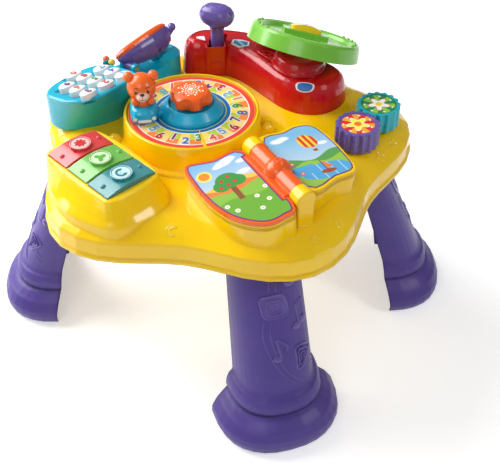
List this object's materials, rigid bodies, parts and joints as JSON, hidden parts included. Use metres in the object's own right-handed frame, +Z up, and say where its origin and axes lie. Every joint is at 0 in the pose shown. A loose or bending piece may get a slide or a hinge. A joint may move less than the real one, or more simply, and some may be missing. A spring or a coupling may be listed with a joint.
{
  "type": "musical activity table",
  "caption": "Low standing activity table: lobed top with telephone, turning dial, driving console, light-up keys, meshed rollers and a page-turning book, on shell legs.",
  "frame": {"origin": "on the floor under the middle of the four feet", "axes": "+Z up; +X to the right across the top, towards the rollers; +Y to the back, towards the driving console"},
  "size_m": [0.548, 0.5178, 0.3368],
  "materials": {
    "deck_yellow": "smooth",
    "leg_purple": "smooth",
    "gear_purple": "smooth",
    "handset_purple": "smooth",
    "handset_orange": "smooth",
    "phone_turquoise": "smooth",
    "key_white": "smooth",
    "dial_print": "smooth",
    "carrier_turquoise": "smooth",
    "car_turquoise": "smooth",
    "bear_orange": "smooth",
    "star_orange": "smooth",
    "console_red": "smooth",
    "badge_print": "smooth",
    "wheel_green": "smooth",
    "horn_yellow": "smooth",
    "pin_steel": "smooth",
    "page_print": "smooth",
    "leaf_orange": "smooth",
    "clear_red": "clear tinted",
    "clear_green": "clear tinted",
    "clear_teal": "clear tinted",
    "roller_purple": "smooth",
    "roller_teal": "smooth",
    "bead_orange": "smooth",
    "bead_yellow": "smooth",
    "cell_dark": "smooth",
    "contact_metal": "smooth",
    "board_green": "smooth",
    "speaker_black": "smooth",
    "switch_dark": "smooth"
  },
  "bodies": {
    "table": {"deck_shell": "deck_yellow", "base_tray": "deck_yellow", "leg_right": "leg_purple", "leg_front": "leg_purple", "leg_left": "leg_purple", "leg_back": "leg_purple", "battery_door": "deck_yellow", "battery_door_screw": "pin_steel", "case_screws": "pin_steel", "battery_cells": "cell_dark", "battery_contacts": "contact_metal", "circuit_board": "board_green", "speaker": "speaker_black", "dial_plate": "dial_print", "console_shell": "console_red", "column_boot": "console_red", "phone_shell": "phone_turquoise", "page_panel": "page_print", "book_pin": "pin_steel", "roller_axles": "pin_steel", "handset_pin": "pin_steel", "bead_rod": "pin_steel", "console_badges": "badge_print"},
    "dial": {"carrier_ring": "carrier_turquoise", "car_body": "car_turquoise", "bear_figure": "bear_orange"},
    "star": {"star_button": "star_orange"},
    "gear": {"gear_lever": "gear_purple"},
    "wheel": {"steering_wheel": "wheel_green", "steering_shaft": "pin_steel"},
    "horn": {"horn_button": "horn_yellow"},
    "handset": {"handset_body": "handset_purple", "handset_face": "handset_orange"},
    "red_key": {"key_red": "clear_red"},
    "green_key": {"key_green": "clear_green"},
    "teal_key": {"key_teal": "clear_teal"},
    "purple_roller": {"roller_purple": "roller_purple"},
    "teal_roller": {"roller_teal": "roller_teal"},
    "leaf": {"book_leaf": "leaf_orange"},
    "switch": {"power_switch": "switch_dark"},
    "orange_bead": {"bead_orange": "bead_orange"},
    "yellow_bead": {"bead_yellow": "bead_yellow"},
    "digit_0": {"phone_key_0": "key_white"},
    "digit_1": {"phone_key_1": "key_white"},
    "digit_2": {"phone_key_2": "key_white"},
    "digit_3": {"phone_key_3": "key_white"},
    "digit_4": {"phone_key_4": "key_white"},
    "digit_5": {"phone_key_5": "key_white"},
    "digit_6": {"phone_key_6": "key_white"},
    "digit_7": {"phone_key_7": "key_white"},
    "digit_8": {"phone_key_8": "key_white"},
    "digit_9": {"phone_key_9": "key_white"}
  },
  "joints": [
    {"name": "dial_spin", "type": "hinge", "parent": "table", "child": "dial", "pos_m": [-0.027, -0.015, 0.272], "axis": [0, 0, 1], "continuous": true},
    {"name": "star_press", "type": "slide", "parent": "table", "child": "star", "axis": [0, 0, -1], "range_m": [0, 0.0025], "stiffness_N_per_m": 300, "springref_m": -0.002},
    {"name": "gear_shift", "type": "hinge", "parent": "table", "child": "gear", "pos_m": [-0.025, 0.119, 0.26044], "axis": [1, 0, 0], "range_deg": [-15, 15]},
    {"name": "wheel_turn", "type": "hinge", "parent": "table", "child": "wheel", "pos_m": [0.0828, 0.1064, 0.312], "axis": [0.1674, 0.3759, 0.9114], "range_deg": [-60, 60]},
    {"name": "horn_press", "type": "slide", "parent": "wheel", "child": "horn", "axis": [-0.1674, -0.3759, -0.9114], "range_m": [0, 0.002], "stiffness_N_per_m": 150, "springref_m": -0.0015},
    {"name": "handset_lift", "type": "hinge", "parent": "table", "child": "handset", "pos_m": [-0.11479, 0.05209, 0.28], "axis": [0.8387, -0.5446, 0], "range_deg": [0, 15]},
    {"name": "red_press", "type": "slide", "parent": "table", "child": "red_key", "axis": [0, 0, -1], "range_m": [0, 0.003], "stiffness_N_per_m": 250, "springref_m": -0.002},
    {"name": "green_press", "type": "slide", "parent": "table", "child": "green_key", "axis": [0, 0, -1], "range_m": [0, 0.003], "stiffness_N_per_m": 250, "springref_m": -0.002},
    {"name": "teal_press", "type": "slide", "parent": "table", "child": "teal_key", "axis": [0, 0, -1], "range_m": [0, 0.003], "stiffness_N_per_m": 250, "springref_m": -0.002},
    {"name": "purple_spin", "type": "hinge", "parent": "table", "child": "purple_roller", "pos_m": [0.154, -0.003, 0.25], "axis": [0, 0, 1], "continuous": true},
    {"name": "teal_spin", "type": "hinge", "parent": "table", "child": "teal_roller", "pos_m": [0.17378, 0.03941, 0.25], "axis": [0, 0, 1], "continuous": true},
    {"name": "page_turn", "type": "hinge", "parent": "table", "child": "leaf", "pos_m": [0.082, -0.107, 0.272], "axis": [-0.6428, 0.766, 0], "range_deg": [0, 168]},
    {"name": "power_slide", "type": "slide", "parent": "table", "child": "switch", "axis": [1, 0, 0], "range_m": [0, 0.006]},
    {"name": "orange_bead_spin", "type": "hinge", "parent": "table", "child": "orange_bead", "pos_m": [-0.14481, 0.05727, 0.2822], "axis": [-0.8387, 0.5446, 0], "continuous": true},
    {"name": "yellow_bead_spin", "type": "hinge", "parent": "table", "child": "yellow_bead", "pos_m": [-0.13643, 0.05183, 0.2822], "axis": [-0.8387, 0.5446, 0], "continuous": true},
    {"name": "digit_0_press", "type": "slide", "parent": "table", "child": "digit_0", "axis": [0.1701, -0.1104, -0.9792], "range_m": [0, 0.002], "stiffness_N_per_m": 120, "springref_m": -0.0015},
    {"name": "digit_1_press", "type": "slide", "parent": "table", "child": "digit_1", "axis": [0.1701, -0.1104, -0.9792], "range_m": [0, 0.002], "stiffness_N_per_m": 120, "springref_m": -0.0015},
    {"name": "digit_2_press", "type": "slide", "parent": "table", "child": "digit_2", "axis": [0.1701, -0.1104, -0.9792], "range_m": [0, 0.002], "stiffness_N_per_m": 120, "springref_m": -0.0015},
    {"name": "digit_3_press", "type": "slide", "parent": "table", "child": "digit_3", "axis": [0.1701, -0.1104, -0.9792], "range_m": [0, 0.002], "stiffness_N_per_m": 120, "springref_m": -0.0015},
    {"name": "digit_4_press", "type": "slide", "parent": "table", "child": "digit_4", "axis": [0.1701, -0.1104, -0.9792], "range_m": [0, 0.002], "stiffness_N_per_m": 120, "springref_m": -0.0015},
    {"name": "digit_5_press", "type": "slide", "parent": "table", "child": "digit_5", "axis": [0.1701, -0.1104, -0.9792], "range_m": [0, 0.002], "stiffness_N_per_m": 120, "springref_m": -0.0015},
    {"name": "digit_6_press", "type": "slide", "parent": "table", "child": "digit_6", "axis": [0.1701, -0.1104, -0.9792], "range_m": [0, 0.002], "stiffness_N_per_m": 120, "springref_m": -0.0015},
    {"name": "digit_7_press", "type": "slide", "parent": "table", "child": "digit_7", "axis": [0.1701, -0.1104, -0.9792], "range_m": [0, 0.002], "stiffness_N_per_m": 120, "springref_m": -0.0015},
    {"name": "digit_8_press", "type": "slide", "parent": "table", "child": "digit_8", "axis": [0.1701, -0.1104, -0.9792], "range_m": [0, 0.002], "stiffness_N_per_m": 120, "springref_m": -0.0015},
    {"name": "digit_9_press", "type": "slide", "parent": "table", "child": "digit_9", "axis": [0.1701, -0.1104, -0.9792], "range_m": [0, 0.002], "stiffness_N_per_m": 120, "springref_m": -0.0015}
  ],
  "couplings": [
    {"joint": "teal_spin", "follows": "purple_spin", "ratio": -1}
  ]
}
